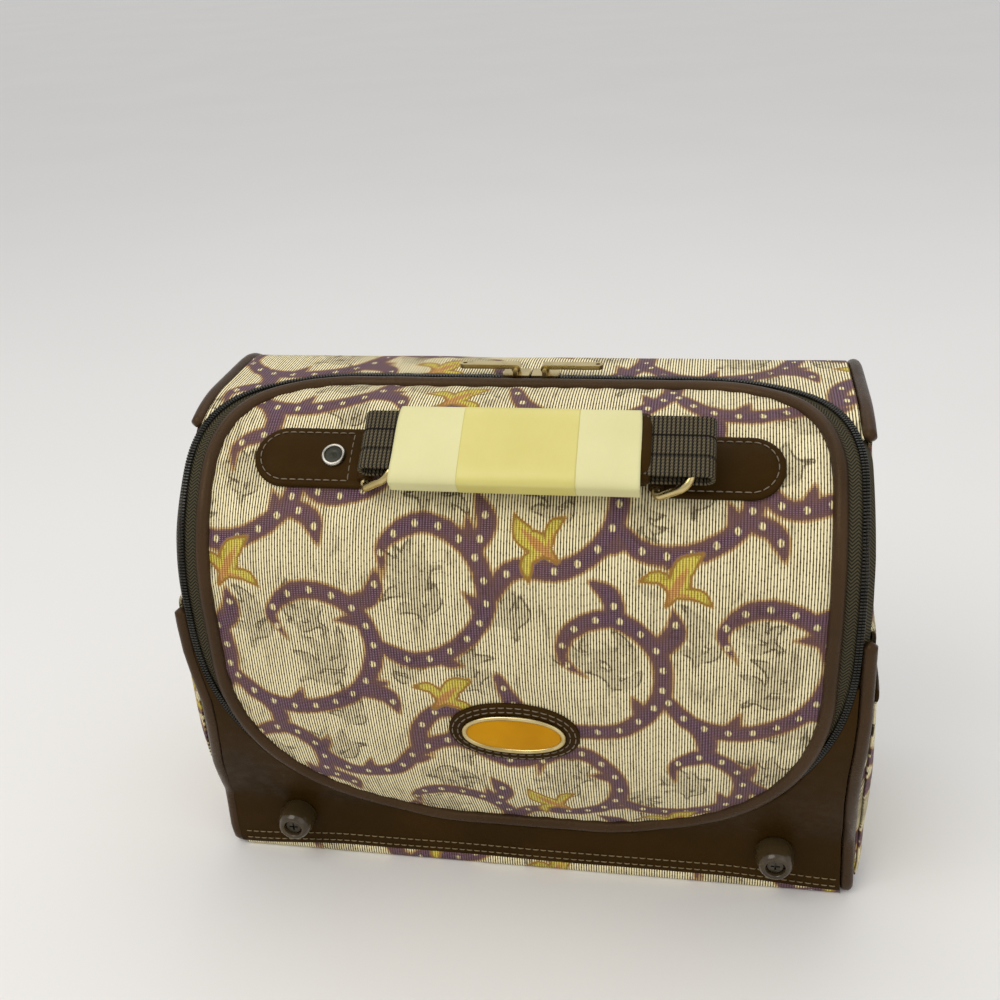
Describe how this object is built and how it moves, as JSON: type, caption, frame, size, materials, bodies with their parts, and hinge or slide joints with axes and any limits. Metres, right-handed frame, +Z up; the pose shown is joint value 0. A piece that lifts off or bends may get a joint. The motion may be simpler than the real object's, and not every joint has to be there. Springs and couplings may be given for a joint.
{
  "type": "carpet bag",
  "caption": "Tapestry travel bag with a zipped, piped front lid over a rounded shoulder, a padded handle on rings, a vinyl apron with feet and side pockets.",
  "frame": {"origin": "middle of the base's underside", "axes": "+Z up, -Y to the front with the lid, X along the width"},
  "size_m": [0.3062, 0.1489, 0.2446],
  "materials": {
    "tapestry": "ribbed woven brocade",
    "vinyl": "satin grained",
    "lining": "plain woven",
    "zip_tape": "herringbone tape",
    "zip_teeth": "nylon coil",
    "brass": "polished plate",
    "foot_plastic": "moulded",
    "steel": "nickel plate",
    "webbing": "woven webbing",
    "sleeve": "taped paper",
    "enamel": "glossy enamel",
    "board": "fibreboard"
  },
  "bodies": {
    "body": {"side_panel_left": "tapestry", "side_panel_right": "tapestry", "back_panel": "tapestry", "top_panel": "tapestry", "base_panel": "tapestry", "base_board": "board", "front_apron": "vinyl", "body_lining": "lining", "edge_binding_left": "vinyl", "edge_binding_right": "vinyl", "side_pocket_left": "tapestry", "side_pocket_right": "tapestry", "pocket_binding_left": "vinyl", "pocket_binding_right": "vinyl", "zip_tape_body": "zip_tape", "zip_teeth_body": "zip_teeth", "foot_left": "foot_plastic", "foot_right": "foot_plastic", "foot_screws": "steel", "foot_nuts": "steel"},
    "lid": {"lid_panel": "tapestry", "lid_lining": "lining", "lid_piping": "vinyl", "zip_tape_lid": "zip_tape", "zip_teeth_lid": "zip_teeth", "slider_left": "brass", "slider_right": "brass", "handle_tab_left": "vinyl", "handle_tab_right": "vinyl", "tab_rivets": "steel", "badge_backing": "vinyl", "badge_rim": "brass", "badge_face": "enamel"},
    "handle": {"handle_grip": "vinyl", "grip_sleeve": "sleeve", "webbing_left": "webbing", "webbing_right": "webbing"},
    "ring_left": {"ring_left": "brass"},
    "ring_right": {"ring_right": "brass"},
    "pull_left": {"pull_left": "brass"},
    "pull_right": {"pull_right": "brass"}
  },
  "joints": [
    {"name": "lid_hinge", "type": "hinge", "parent": "body", "child": "lid", "pos_m": [0, -0.0609, 0.0297], "axis": [1, 0, 0], "range_deg": [0, 90]},
    {"name": "handle_lift", "type": "slide", "parent": "lid", "child": "handle", "axis": [0, -0.6018, 0.7986], "range_m": [-0.0025, 0.0045]},
    {"name": "ring_left_turn", "type": "hinge", "parent": "lid", "child": "ring_left", "pos_m": [-0.06, -0.05885, 0.22218], "axis": [0, -0.7986, -0.6018], "range_deg": [-11.27, 19.89]},
    {"name": "ring_right_turn", "type": "hinge", "parent": "lid", "child": "ring_right", "pos_m": [0.06, -0.05885, 0.22218], "axis": [0, -0.7986, -0.6018], "range_deg": [-11.27, 19.89]},
    {"name": "pull_left_turn", "type": "hinge", "parent": "lid", "child": "pull_left", "pos_m": [-0.0066, 0.0045, 0.23818], "axis": [0, 1, 0], "range_deg": [0, 100]},
    {"name": "pull_right_turn", "type": "hinge", "parent": "lid", "child": "pull_right", "pos_m": [0.0066, 0.0045, 0.23818], "axis": [0, -1, 0], "range_deg": [0, 100]}
  ],
  "couplings": [
    {"joint": "ring_left_turn", "follows": "handle_lift", "rad_per_m": 75.224},
    {"joint": "ring_right_turn", "follows": "handle_lift", "rad_per_m": 75.224}
  ]
}
